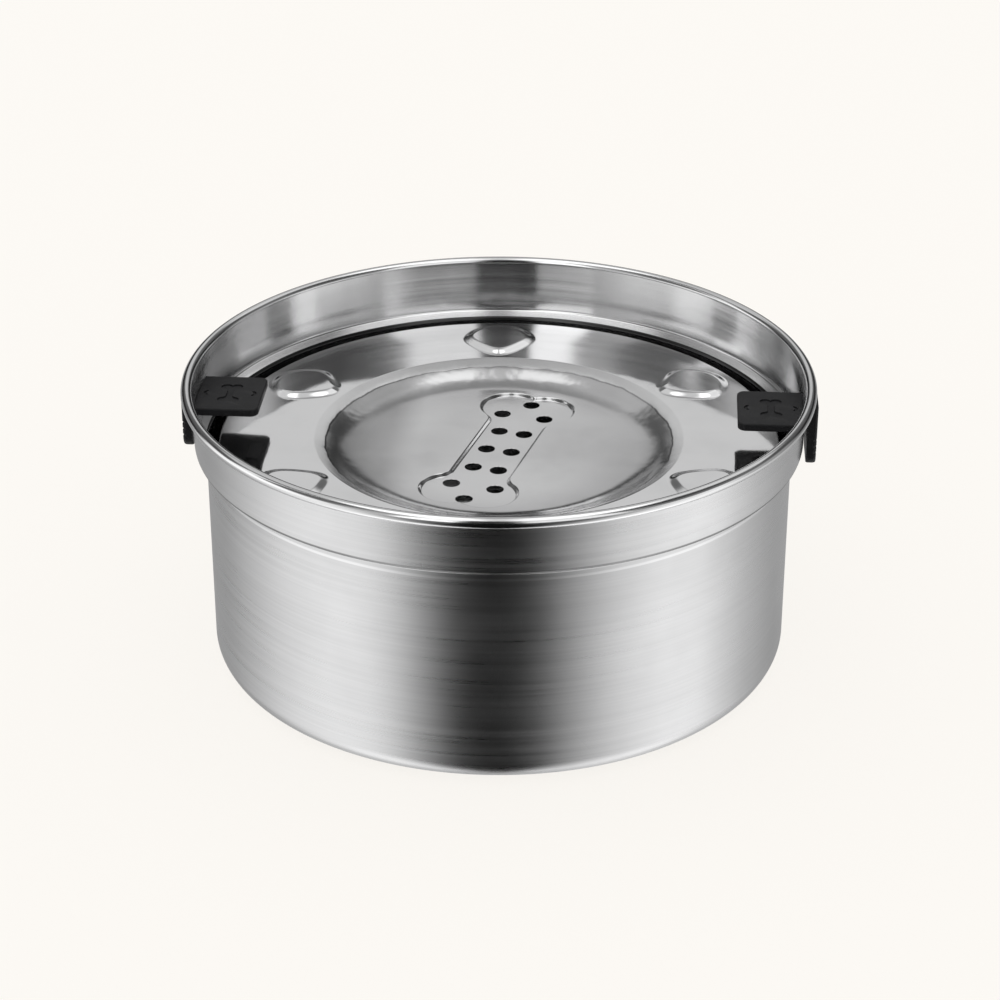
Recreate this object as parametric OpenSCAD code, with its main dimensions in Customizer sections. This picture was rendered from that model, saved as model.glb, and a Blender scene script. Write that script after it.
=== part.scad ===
// No-spill water bowl for pets: a rolled-rim steel bowl, a steel plate that floats
// on a hollow ring, and two sliding clips that keep the plate in the bowl.
// Origin: centre of the footprint, on the floor. +Z is up, the clips lie on the X axis.

/* [Bowl] */
// Diameter over the rolled rim
rim_d = 240; // [225:1:270]
// Height from the floor to the top of the rolled rim
bowl_h = 112.2; // [105:0.1:150]
// Thickness of the bowl's steel sheet
bowl_sheet = 0.6; // [0.4:0.05:0.9]
// Diameter of the bead rolled at the rim
bead_d = 4.4; // [3.4:0.1:6]
// Height of the collar, from the bead's centre down to the foot of the shoulder
collar_h = 23; // [21:0.5:30]
// How much wider the collar is at its top than at its foot, on the radius
collar_flare = 0.5; // [0:0.1:1.5]
// Height of the shoulder between the collar and the body
shoulder_h = 2; // [1.6:0.1:4]
// Inward step of the shoulder, on the radius
shoulder_step = 4.3; // [3.5:0.1:8]
// Radius of the bend from the body to the base
base_bend_r = 8; // [4:0.5:14]

/* [Base ring] */
// Distance from the body's side to the middle of the non-slip ring
ring_inset = 21.5; // [18:0.5:30]
// Width of the non-slip ring
ring_w = 11; // [7:0.5:14]
// How far the ring stands out below the steel base
ring_proud = 0.8; // [0.4:0.1:2]
// Depth of the groove pressed in the base for the ring
groove_depth = 2; // [1.6:0.1:3]
// Gap between the ring and each side of its groove
ring_gap = 0.3; // [0.1:0.1:0.6]

/* [Floating plate] */
// Thickness of the plate's steel sheet
plate_sheet = 0.5; // [0.4:0.05:0.8]
// Drop from the bead's centre to the top of the plate's flange
plate_drop = 22.9; // [22:0.1:30]
// Gap all round between the plate's edge and the inside of the body
plate_gap = 3.9; // [2:0.1:6]
// Width of the plate's flange, from its edge to the dish's mouth
flange_w = 36.2; // [32:0.1:40]
// Depth of the dish below the flange
dish_depth = 6.1; // [4:0.1:9]
// Horizontal run of the dish's sloping side
dish_run = 13.1; // [8:0.1:16]
// Radius of the bend at the foot of the dish's side
dish_heel_r = 6; // [2:0.5:10]
// Radius of the bend at the dish's mouth
dish_lip_r = 1.5; // [1:0.1:4]
// How far the folded edge reaches in under the float's lid
hem_w = 3; // [2.4:0.1:4.5]
// How far the plate is turned from the clips, in degrees
plate_turn = 3.8; // [0:0.1:10]

/* [Bone recess] */
// Angle of the bone to the line through two opposite bosses, in degrees
bone_turn = 72.4; // [0:0.1:180]
// Depth of the recess below the dish's floor
bone_depth = 1.2; // [0.6:0.1:2.4]
// Gap between the ends of the bone and the foot of the dish's side
bone_margin = 9.1; // [6:0.1:14]
// Diameter of the water holes, as a share of half the bone's length
hole_share = 0.132; // [0.09:0.002:0.14]
// Gap between the hole at each end and the wall of the recess
end_hole_gap = 0.2; // [0.1:0.1:2]

/* [Petal bosses] */
// Number of bosses pressed in the flange
boss_count = 6; // [3:1:8]
// Height of the bosses
boss_h = 1.4; // [1:0.1:4]
// Horizontal run of a boss's sloping side
boss_run = 2.6; // [2:0.1:4]
// Distance from the dish's mouth to the tip of a boss
boss_tip_gap = 2.7; // [2:0.1:6]
// Length of a boss along the plate's radius
boss_length = 28; // [18:0.5:30]
// Angle between the two sides of a boss at its tip, in degrees
boss_tip_angle = 113; // [90:1:130]
// Radius of the curve of each side
boss_side_r = 40; // [30:1:80]
// Radius of a boss's outer end
boss_end_r = 13.2; // [11:0.1:16]

/* [Float] */
// Gap between the dish's mouth and the float
float_gap = 2.8; // [2:0.1:4]
// Depth of the float's tray
tray_depth = 14; // [10:0.5:20]
// Thickness of the tray's walls
tray_wall = 1.2; // [0.9:0.1:2]
// Radius of the tray's lower corners
tray_bend_r = 3; // [2.2:0.1:6]
// Gap between the tray and the plate's folded edge
tray_gap = 0.4; // [0.2:0.1:1]
// Thickness of the float's lid
lid_t = 1.3; // [1:0.1:2]
// Gap between the lid's rim and the plate's folded edge
lid_gap = 0.6; // [0.5:0.1:1]
// Depth of the ribs that centre the lid in the tray
lid_rib_h = 2; // [1:0.1:4]
// Gap between the lid's ribs and the tray
lid_rib_gap = 0.2; // [0.1:0.05:0.4]
// Gap between the lid's knobs and the hollows of the bosses
knob_gap = 0.3; // [0.2:0.05:0.6]
// Thickness of the tray's cross walls
cross_wall = 1; // [0.8:0.1:2]

/* [Clips] */
// Drop from the bead's centre to the top of the clip's tongue
tongue_drop = 9; // [8:0.1:10]
// Thickness of the tongue
tongue_t = 3; // [2:0.1:4]
// Width of the tongue
tongue_w = 30; // [22:0.5:36]
// How far the tongue reaches in over the plate
tongue_reach = 16.5; // [12:0.5:20]
// Radius of the tongue's inner corners
tongue_corner_r = 3; // [1:0.1:5]
// Bevel on the edges of the clip
clip_bevel = 0.5; // [0.2:0.1:0.8]
// Gap above and below the tongue in its slot
slot_gap = 0.3; // [0.2:0.05:0.6]
// Gap at each side of the tongue in its slot
slot_side_gap = 0.4; // [0.2:0.05:0.8]
// Extra travel that clears the plate's edge
release_gap = 1; // [0.5:0.1:2]
// Height of the stop under the tongue
stop_h = 0.9; // [0.6:0.1:1.5]
// Length of the stop's ramp
stop_run = 5; // [3:0.1:6]
// Width of the stop
stop_w = 14; // [6:0.5:20]
// Thickness of the finger plate
finger_t = 3.8; // [3:0.1:5]
// Width of the finger plate
finger_w = 20; // [14:0.5:28]
// Height of the finger plate
finger_h = 25.5; // [22:0.5:32]
// Gap between the bead and the top of the finger plate
finger_top_gap = 0.8; // [0.4:0.1:2]
// Gap between the finger plate and the collar
finger_gap = 0.4; // [0.3:0.05:0.8]
// Radius of the finger plate's corners
finger_corner_r = 5; // [2:0.5:8]
// Number of grip grooves on the finger plate
grip_count = 3; // [0:1:5]
// Width of a grip groove
grip_w = 1; // [0.6:0.1:1.4]
// Spacing of the grip grooves
grip_pitch = 2.6; // [2:0.1:3]
// Depth of the marks in the clip
mark_depth = 0.5; // [0.3:0.1:1]

/* [Hidden] */
$fn = 96;

// Points along each bend of a pressed sheet, and round the rolled bead
bend_steps = 6;
bead_steps = 20;
// How far a cut runs past the surface that it opens
overrun = 1;
// How far the sheet is rolled round the bead, in degrees
bead_turn = 300;

// Bowl
rim_r = rim_d / 2;
bead_r = bead_d / 2;
bead_centre = [rim_r - bead_r, bowl_h - bead_r];
collar_top_r = rim_r - bead_d + bowl_sheet;
collar_foot_r = collar_top_r - collar_flare;
body_r = collar_foot_r - shoulder_step;
shoulder_z = bead_centre.y - collar_h;
// Bends at the foot and at the top of the shoulder
shoulder_foot_bend = 2 * bowl_sheet;
shoulder_top_bend = 3 * bowl_sheet;

// Base ring and its groove
ring_r = body_r - ring_inset;
groove_half = ring_w / 2 + ring_gap;
// Sideways lean of the groove's walls, and the bends at its mouth and its roof
groove_lean = bowl_sheet;
groove_bend = 1.5 * bowl_sheet;
ring_top_z = ring_proud + groove_depth;
// Shallow rings in the underside of the non-slip ring
tread_shares = [-0.25, 0, 0.25];
tread_w = ring_w / 11;
tread_depth = ring_proud / 2;

// Floating plate
plate_r = body_r - bowl_sheet - plate_gap;
plate_z = bead_centre.y - plate_drop;
plate_under_z = plate_z - plate_sheet;
dish_r = plate_r - flange_w;
dish_z = plate_z - dish_depth;
bone_z = dish_z - bone_depth;
bone_half_l = dish_r - dish_run - bone_margin;
// Shape of the bone as shares of half its length: distance of the lobe centres along it and
// across it, radius of the lobes, half the waist's width, and radius of the hollow neck
bone_shares = [0.773, 0.14, 0.227, 0.217, 0.165];
// Places of the holes as shares of the same length, along the bone and across it
waist_hole_shares = [0.338, 0.103];
lobe_hole_shares = [0.656, 0.177];
hem_h = 2 * plate_sheet + lid_t;
edge_bend = 2 * plate_sheet;
boss_under_slope = plate_sheet * norm([boss_h, boss_run]) / boss_h;
boss_tip_x = dish_r + boss_tip_gap;
boss_side_centre = [boss_tip_x, 0] + boss_side_r * turned([0, -1], boss_tip_angle / 2);
boss_end_centre = [boss_tip_x + boss_length - boss_end_r, 0];

// Float
tray_in_r = dish_r + float_gap;
tray_out_r = plate_r - hem_w - tray_gap;
lid_z = plate_under_z - lid_t;
tray_z = lid_z - tray_depth;
lid_out_r = plate_r - plate_sheet - lid_gap;
lid_rib_w = tray_wall;

// Clips
tongue_z = bead_centre.y - tongue_drop;
tongue_x = plate_r - tongue_reach;
finger_x = collar_top_r + finger_gap;
finger_z = bead_centre.y - bead_r - finger_top_gap;
clip_travel = tongue_reach + release_gap;
// The stop meets the collar's inside where its outer corners reach it
stop_x = sqrt(pow(collar_foot_r - bowl_sheet, 2) - pow(stop_w / 2, 2)) - clip_travel - slot_gap;
// The tongue is full width as far as the collar's outside, and as wide as the finger plate beyond
tongue_wide_x = sqrt(pow(collar_top_r, 2) - pow(tongue_w / 2, 2)) + slot_gap;
// Small bone on the tongue: lobe distance along and across, lobe, half waist and neck radius
mark_bone = tongue_w * [0.19, 0.065, 0.07, 0.04, 0.05];
// Curved strokes on both sides of it: distance from the bone, radius, width and half angle
stroke_x = tongue_w * 0.25;
stroke_r = tongue_w * 0.07;
stroke_w = tongue_w * 0.03;
stroke_half_angle = 50;

// Travel of the moving pieces, for the joints
float_up = tongue_z - tongue_t - stop_h - slot_gap - plate_z;
float_down = tray_z - ring_top_z - bowl_sheet - ring_gap;
echo(clip_travel = clip_travel, float_up = float_up, float_down = float_down);
echo(plate_r = plate_r, plate_z = plate_z, tray_z = tray_z, tongue_x = tongue_x);

function unit(v) = v / norm(v);
function left_of(v) = [-v.y, v.x];
function turned(v, a) = [v.x * cos(a) - v.y * sin(a), v.x * sin(a) + v.y * cos(a)];
function reversed(list) = [for (i = [len(list) - 1:-1:0]) list[i]];
function arc(centre, r, from, to, steps) =
    [for (i = [0:steps]) centre + r * turned([1, 0], from + (to - from) * i / steps)];

// One bend of radius r at corner b, on the face that lies shift to the left of the path
function bend(a, b, c, r, shift) =
    let (u = unit(b - a), v = unit(c - b))
    let (side = sign(u.x * v.y - u.y * v.x), swing = acos(u * v))
    let (centre = b - u * r * tan(swing / 2) + left_of(u) * side * r)
    [for (i = [0:bend_steps])
        centre - turned(left_of(u) * side, side * swing * i / bend_steps) * (r - side * shift)];

// One face of a pressed sheet: corners are [radius, height, bend radius], from the axis out
function sheet_face(corners, shift) =
    let (p = [for (c = corners) [c[0], c[1]]], last = len(p) - 1)
    concat(
        [p[0] + left_of(unit(p[1] - p[0])) * shift],
        [for (i = [1:last - 1]) each bend(p[i - 1], p[i], p[i + 1], corners[i][2], shift)],
        [p[last] + left_of(unit(p[last] - p[last - 1])) * shift]);

// Both faces of a pressed sheet, the second one lying shift to the left of the first
function sheet_outline(corners, shift) =
    concat(sheet_face(corners, 0), reversed(sheet_face(corners, shift)));

// A bone: size is [lobe distance along, lobe distance across, lobe r, half waist, neck r]
function bone_quarter(size, grow) =
    let (lobe = [size[0], size[1]], neck_y = size[3] + size[4], reach = size[2] + size[4])
    let (neck = [lobe.x - sqrt(pow(reach, 2) - pow(neck_y - lobe.y, 2)), neck_y])
    let (lean = atan2(lobe.y - neck.y, lobe.x - neck.x))
    concat(
        arc(neck, size[4] - grow, -90, lean, bend_steps),
        arc(lobe, size[2] + grow, lean + 180, -asin(lobe.y / (size[2] + grow)), 3 * bend_steps));
function bone_outline(size, grow) =
    let (quarter = bone_quarter(size, grow))
    let (half = concat(quarter, reversed([for (p = quarter) [p.x, -p.y]])))
    concat(half, [for (p = half) -p]);

// A rectangle from low to high with a bend radius at each corner, from the lower left round
function rounded(low, high, radii) =
    let (r = radii)
    concat(
        arc([low.x + r[0], low.y + r[0]], r[0], 180, 270, bend_steps),
        arc([high.x - r[1], low.y + r[1]], r[1], 270, 360, bend_steps),
        arc([high.x - r[2], high.y - r[2]], r[2], 0, 90, bend_steps),
        arc([low.x + r[3], high.y - r[3]], r[3], 90, 180, bend_steps));

// A rectangle from low to high with bevelled corners
function bevelled(low, high, b) = [
    [low.x + b, low.y], [high.x - b, low.y], [high.x, low.y + b], [high.x, high.y - b],
    [high.x - b, high.y], [low.x + b, high.y], [low.x, high.y - b], [low.x, low.y + b]];

// Outlines drawn in X and Z, or in Y and Z, and drawn out along the third axis
module along_y(width) rotate([90, 0, 0]) linear_extrude(width, center = true) children();
module along_x(from, to) translate([from, 0, 0]) rotate([90, 0, 90]) linear_extrude(to - from) children();

// Bowl: base with its ring groove, straight body, shoulder, collar and rolled bead
bowl_corners = [
    [0, ring_proud, 0],
    [ring_r - groove_half - groove_lean, ring_proud, groove_bend],
    [ring_r - groove_half, ring_top_z, groove_bend],
    [ring_r + groove_half, ring_top_z, groove_bend],
    [ring_r + groove_half + groove_lean, ring_proud, groove_bend],
    [body_r, ring_proud, base_bend_r],
    [body_r, shoulder_z, shoulder_foot_bend],
    [collar_foot_r, shoulder_z + shoulder_h, shoulder_top_bend],
    [collar_top_r, bead_centre.y, 0]];

module clip_slot() {
    low = [-tongue_w / 2 - slot_side_gap, tongue_z - tongue_t - slot_gap];
    high = [tongue_w / 2 + slot_side_gap, tongue_z + slot_gap];
    along_x(body_r, rim_r) polygon(bevelled(low, high, clip_bevel));
}

module bowl() {
    end = 180 - bead_turn;
    roll_inside = arc(bead_centre, bead_r - bowl_sheet, 180, end, bead_steps);
    roll_outside = arc(bead_centre, bead_r, 180, end, bead_steps);
    dry_side = concat(sheet_face(bowl_corners, 0), roll_inside);
    wet_side = concat(sheet_face(bowl_corners, bowl_sheet), roll_outside);
    color([0.74, 0.75, 0.76]) difference() {
        rotate_extrude() polygon(concat(dry_side, reversed(wet_side)));
        for (a = [0, 180]) rotate(a) clip_slot();
    }
}

// Non-slip ring, seated against the roof of its groove, with a shallow tread
module base_ring() {
    low = [ring_r - ring_w / 2, 0];
    high = [ring_r + ring_w / 2, ring_top_z];
    foot = ring_proud;
    color([0.13, 0.13, 0.14]) rotate_extrude() difference() {
        polygon(bevelled(low, high, foot));
        for (s = tread_shares) {
            x = ring_r + s * ring_w - tread_w / 2;
            translate([x, -overrun]) square([tread_w, tread_depth + overrun]);
        }
    }
}

// Petal-shaped bosses: each is what three cones have in common, one for each side and one
// for the outer end. down lowers its top, in draws its sides in, and from is where it starts
module petal(down, in, from) {
    side = boss_side_centre;
    intersection() {
        petal_cone(side, boss_side_r - in, boss_h - down, from);
        petal_cone([side.x, -side.y], boss_side_r - in, boss_h - down, from);
        petal_cone(boss_end_centre, boss_end_r - in, boss_h - down, from);
    }
}

module petal_cone(centre, r, top, from) {
    slope = boss_run / boss_h;
    translate([centre.x, centre.y, plate_z + from])
        cylinder(top - from, r - slope * from, r - slope * top);
}

module petals(down, in, from)
    for (i = [1:boss_count]) rotate(90 + 360 * i / boss_count) petal(down, in, from);

// Floating plate: dish, flange and folded edge, with the bosses and the pierced bone recess
plate_corners = [
    [0, dish_z, 0],
    [dish_r - dish_run, dish_z, dish_heel_r],
    [dish_r, plate_z, dish_lip_r],
    [plate_r, plate_z, edge_bend],
    [plate_r, plate_z - hem_h, edge_bend],
    [plate_r - hem_w, plate_z - hem_h, 0]];
bone_size = bone_half_l * bone_shares;
hole_d = bone_half_l * hole_share;
waist_hole = bone_half_l * waist_hole_shares;
lobe_hole = bone_half_l * lobe_hole_shares;
bone_end_x = bone_size[0] + sqrt(pow(bone_size[2], 2) - pow(bone_size[1], 2));
end_hole_x = bone_end_x - end_hole_gap - hole_d / 2;
bone_holes = concat(
    [for (i = [-1:1], side = [-1, 1]) [i * waist_hole.x, side * waist_hole.y]],
    [for (end = [-1, 1], side = [-1, 1]) [end * lobe_hole.x, side * lobe_hole.y]],
    [for (end = [-1, 1]) [end * end_hole_x, 0]]);

module bone_prism(grow, from, to)
    rotate(bone_turn) translate([0, 0, from]) linear_extrude(to - from)
        polygon(bone_outline(bone_size, grow));

module disc_plate() {
    color([0.80, 0.81, 0.82]) rotate(plate_turn) difference() {
        union() {
            rotate_extrude() polygon(sheet_outline(plate_corners, -plate_sheet));
            bone_prism(plate_sheet, bone_z - plate_sheet, dish_z - plate_sheet / 2);
            petals(0, 0, -plate_sheet / 2);
        }
        bone_prism(0, bone_z, dish_z + overrun);
        petals(plate_sheet, boss_under_slope, -plate_sheet - overrun);
        rotate(bone_turn) for (p = bone_holes)
            translate([p.x, p.y, bone_z - plate_sheet - overrun])
                cylinder(plate_sheet + 2 * overrun, d = hole_d);
    }
}

// Float: a hollow ring of tray and lid, with cross walls, held by the plate's folded edge
tray_corners = [
    [tray_in_r, lid_z, 0],
    [tray_in_r, tray_z, tray_bend_r],
    [tray_out_r, tray_z, tray_bend_r],
    [tray_out_r, lid_z, 0]];

module float_tray() {
    wall_from = tray_in_r + tray_wall / 2;
    wall_to = tray_out_r - tray_wall / 2;
    wall_h = tray_depth - tray_wall / 2 - lid_rib_h - lid_rib_gap;
    color([0.10, 0.10, 0.11]) rotate(plate_turn) {
        rotate_extrude() polygon(sheet_outline(tray_corners, tray_wall));
        for (i = [1:boss_count]) rotate(360 * i / boss_count)
            translate([wall_from, -cross_wall / 2, tray_z + tray_wall / 2])
                cube([wall_to - wall_from, cross_wall, wall_h]);
    }
}

module float_lid() {
    rib_top = lid_z + lid_t / 2;
    inner_rib_r = tray_in_r + tray_wall + lid_rib_gap;
    outer_rib_r = tray_out_r - tray_wall - lid_rib_gap - lid_rib_w;
    color([0.15, 0.15, 0.16]) rotate(plate_turn) {
        rotate_extrude() {
            translate([tray_in_r, lid_z]) square([lid_out_r - tray_in_r, lid_t]);
            for (r = [inner_rib_r, outer_rib_r])
                translate([r, lid_z - lid_rib_h]) square([lid_rib_w, rib_top - lid_z + lid_rib_h]);
        }
        knob_in = boss_under_slope + knob_gap;
        petals(plate_sheet + knob_gap, knob_in, -plate_sheet - lid_t / 2);
    }
}

// Clip: a tongue through the collar, a stop under it, and a finger plate outside
module tongue() {
    low = [tongue_x, tongue_z - tongue_t];
    high = [finger_x + finger_t / 2, tongue_z];
    half = tongue_w / 2;
    c = tongue_corner_r;
    intersection() {
        translate([0, 0, low.y]) linear_extrude(tongue_t) {
            polygon(rounded([low.x, -half], [tongue_wide_x, half], [c, clip_bevel, clip_bevel, c]));
            translate([low.x + c, -finger_w / 2]) square([high.x - low.x - c, finger_w]);
        }
        along_y(tongue_w) polygon(bevelled(low, high, clip_bevel));
        along_x(low.x, high.x) polygon(bevelled([-half, low.y], [half, high.y], clip_bevel));
    }
}

module stop() {
    under = tongue_z - tongue_t;
    rise = tongue_t / 2;
    along_y(stop_w) polygon([
        [stop_x - stop_run, under + rise], [stop_x - stop_run, under],
        [stop_x, under - stop_h], [stop_x, under + rise]]);
}

module finger_plate() {
    low = [finger_x, finger_z - finger_h];
    high = [finger_x + finger_t, finger_z];
    half = finger_w / 2;
    c = finger_corner_r;
    r = finger_t / 3;
    difference() {
        intersection() {
            along_y(finger_w) polygon(rounded(low, high, [r, r, r, r]));
            along_x(low.x, high.x)
                polygon(rounded([-half, low.y], [half, high.y], [c, c, clip_bevel, clip_bevel]));
        }
        for (i = [1:grip_count]) {
            z = (low.y + tongue_z - tongue_t) / 2 + grip_pitch * (i - (grip_count + 1) / 2);
            translate([high.x - mark_depth, -half - overrun, z - grip_w / 2])
                cube([mark_depth + overrun, finger_w + 2 * overrun, grip_w]);
        }
    }
}

module tongue_marks() {
    middle = (tongue_x + collar_foot_r) / 2;
    translate([middle, 0, tongue_z - mark_depth]) linear_extrude(mark_depth + overrun) {
        rotate(90) polygon(bone_outline(mark_bone, 0));
        for (side = [-1, 1]) translate([side * stroke_x, 0]) {
            from = side > 0 ? -stroke_half_angle : 180 - stroke_half_angle;
            to = from + 2 * stroke_half_angle;
            polygon(concat(
                arc([0, 0], stroke_r + stroke_w / 2, from, to, bend_steps),
                arc([0, 0], stroke_r - stroke_w / 2, to, from, bend_steps)));
        }
    }
}

module clip() {
    color([0.09, 0.09, 0.10]) difference() {
        union() {
            tongue();
            stop();
            finger_plate();
        }
        tongue_marks();
    }
}

module right_clip() { clip(); }
module left_clip() { rotate(180) clip(); }

bowl();
base_ring();
disc_plate();
float_tray();
float_lid();
right_clip();
left_clip();
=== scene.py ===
# %% [markdown]
# # No-spill water bowl
# A pressed steel bowl with a rolled rim holds a thin steel plate that floats on the
# water. Two black clips reach in through slots in the collar and keep the plate in.
# The solid model is loaded first and stays fixed. Everything below is finish: pieces
# that carry the same sizes with the small roundings of real press work, and materials.

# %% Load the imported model
import math

import bpy
import numpy as np
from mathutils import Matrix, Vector
from mathutils.geometry import delaunay_2d_cdt


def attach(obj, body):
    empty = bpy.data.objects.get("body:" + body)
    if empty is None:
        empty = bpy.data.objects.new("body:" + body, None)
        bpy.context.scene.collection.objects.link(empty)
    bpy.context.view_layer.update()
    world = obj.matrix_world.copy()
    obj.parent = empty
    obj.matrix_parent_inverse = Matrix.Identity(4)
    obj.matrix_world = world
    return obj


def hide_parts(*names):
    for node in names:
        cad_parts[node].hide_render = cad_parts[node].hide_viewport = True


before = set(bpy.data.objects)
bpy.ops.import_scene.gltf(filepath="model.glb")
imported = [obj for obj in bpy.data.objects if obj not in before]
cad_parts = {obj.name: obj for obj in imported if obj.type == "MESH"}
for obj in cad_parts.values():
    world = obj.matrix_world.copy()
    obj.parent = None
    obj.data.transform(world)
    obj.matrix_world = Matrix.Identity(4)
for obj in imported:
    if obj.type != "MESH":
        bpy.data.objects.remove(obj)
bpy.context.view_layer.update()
print("nodes:", sorted(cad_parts))

# %% [markdown]
# ## Camera
# The lens and the place come from fitting the rim, the shoulder and the foot, which are
# three circles, to their outlines. A camera that stands about a metre away, 27 degrees
# up, and a few degrees to the right of the clips' cross axis explains all three.

# %% Camera
CAMERA_TURN = math.radians(3.8)
CAMERA_LIFT = math.radians(27.18)
CAMERA_AWAY = 1.020
camera_data = bpy.data.cameras.new("camera")
camera_data.sensor_width = 36.0
camera_data.lens = 94.74
camera_data.shift_x = 0.0011
camera_data.clip_start = 0.05
camera_data.clip_end = 50.0
camera = bpy.data.objects.new("camera", camera_data)
bpy.context.scene.collection.objects.link(camera)
back = Vector((math.sin(CAMERA_TURN) * math.cos(CAMERA_LIFT),
               -math.cos(CAMERA_TURN) * math.cos(CAMERA_LIFT),
               math.sin(CAMERA_LIFT)))
camera.location = Vector((0.0, 0.0, 0.05838)) + back * CAMERA_AWAY
camera.rotation_mode = "QUATERNION"
camera.rotation_quaternion = (-back).to_track_quat("-Z", "Y")
bpy.context.scene.camera = camera
print("camera at", [round(x, 4) for x in camera.location])

# %% [markdown]
# ## Node helpers
# Short helpers keep the materials readable: one adds a node and fills its inputs, with
# either a number, a colour or the output of another node.

# %% Node helpers
def set_socket(tree, socket, value):
    """Links another node's output to the socket, or writes a number or colour in it."""
    if isinstance(value, bpy.types.NodeSocket):
        tree.links.new(value, socket)
    else:
        socket.default_value = value


def add(tree, kind, settings=None, **inputs):
    """Adds a node. settings are its properties; inputs are its sockets, with _ for a space."""
    node = tree.nodes.new(kind)
    for key, value in (settings or {}).items():
        setattr(node, key, value)
    for key, value in inputs.items():
        name = int(key[1:]) if key[1:].isdigit() else key.replace("_", " ")
        set_socket(tree, node.inputs[name], value)
    return node


def math_node(tree, operation, *values):
    """The output of a Math node that works on two values, or one or three."""
    node = add(tree, "ShaderNodeMath", {"operation": operation})
    for socket, value in zip(node.inputs, values):
        set_socket(tree, socket, value)
    return node.outputs[0]


def remap(tree, value, low, high, to_low, to_high, smooth=False):
    kind = "SMOOTHSTEP" if smooth else "LINEAR"
    node = add(tree, "ShaderNodeMapRange", {"interpolation_type": kind}, Value=value,
               From_Min=low, From_Max=high, To_Min=to_low, To_Max=to_high)
    return node.outputs[0]


def noise(tree, vector, scale, detail=2.0, rough=0.5):
    node = add(tree, "ShaderNodeTexNoise", None, Vector=vector, Scale=scale,
               Detail=detail, Roughness=rough)
    return node.outputs["Fac"]


def blend_colours(tree, fac, a, b):
    return add(tree, "ShaderNodeMix", {"data_type": "RGBA"}, s0=fac, s6=a, s7=b).outputs[2]


def object_place(tree):
    """Places on the object in metres, and their x, y and z."""
    place = add(tree, "ShaderNodeTexCoord").outputs["Object"]
    return place, add(tree, "ShaderNodeSeparateXYZ", None, Vector=place).outputs


def from_axis(tree, xyz):
    """Distance from the bowl's upright axis."""
    square = math_node(tree, "ADD", math_node(tree, "POWER", xyz[0], 2.0),
                       math_node(tree, "POWER", xyz[1], 2.0))
    return math_node(tree, "SQRT", square)


def steel_colour(tree, shade, blue):
    """A grey from a shade, with its blue multiplied by a number near 1."""
    return add(tree, "ShaderNodeCombineColor", None, Red=shade, Green=shade,
               Blue=math_node(tree, "MULTIPLY", shade, blue)).outputs[0]


print("node helpers ready")

# %% [markdown]
# ### Groups and materials
# A node group starts empty, with its named inputs and outputs, and is then placed in a
# material with that material's own values. Every material of the object is one
# Principled shader with nodes in front of it.

# %% Groups and materials
def new_group(name, inputs, outputs):
    """An empty node group with float inputs (name, default) and outputs (name, type)."""
    group = bpy.data.node_groups.new(name, "ShaderNodeTree")
    for label, default in inputs:
        socket = group.interface.new_socket(label, in_out="INPUT", socket_type="NodeSocketFloat")
        socket.default_value = default
    for label, kind in outputs:
        group.interface.new_socket(label, in_out="OUTPUT", socket_type=kind)
    start = group.nodes.new("NodeGroupInput")
    end = group.nodes.new("NodeGroupOutput")
    return group, start.outputs, end.inputs


def use_group(tree, group, **inputs):
    node = tree.nodes.new("ShaderNodeGroup")
    node.node_tree = group
    for key, value in inputs.items():
        set_socket(tree, node.inputs[key.replace("_", " ")], value)
    return node.outputs


def new_material(name):
    """A material whose tree holds only its output and a Principled shader."""
    material = bpy.data.materials.new(name)
    material.use_nodes = True
    tree = material.node_tree
    tree.nodes.clear()
    out = tree.nodes.new("ShaderNodeOutputMaterial")
    shader = tree.nodes.new("ShaderNodeBsdfPrincipled")
    tree.links.new(shader.outputs[0], out.inputs[0])
    return material, tree, shader


print("group and material helpers ready")

# %% [markdown]
# ## Shared surface effects
# Three effects come back in several materials, so each is a node group.
# Turned grain is what an abrasive belt leaves on a piece that spins on a chuck: long
# streaks round the axis, on walls and on flat rings alike. Handling is the uneven film
# of wiping and drying, with a few fine hairline scratches. Settled dust lies where a
# face looks up, in patches.

# %% Shared surface effects
grain_group, g_in, g_out = new_group(
    "turned_grain", [("Across", 900.0), ("Along", 9.0)],
    [("Streak", "NodeSocketFloat"), ("Fine", "NodeSocketFloat")])
t = grain_group
place, xyz = object_place(t)
height = math_node(t, "ADD", xyz[2], from_axis(t, xyz))
streak_place = add(t, "ShaderNodeCombineXYZ", None,
                   X=math_node(t, "MULTIPLY", xyz[0], g_in["Along"]),
                   Y=math_node(t, "MULTIPLY", xyz[1], g_in["Along"]),
                   Z=math_node(t, "MULTIPLY", height, g_in["Across"])).outputs[0]
t.links.new(noise(t, streak_place, 1.0, 4.0, 0.62), g_out["Streak"])
fine_place = add(t, "ShaderNodeVectorMath", {"operation": "MULTIPLY"}, s0=streak_place,
                 s1=(2.3, 2.3, 4.1)).outputs[0]
t.links.new(noise(t, fine_place, 1.0, 2.0, 0.5), g_out["Fine"])

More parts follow.
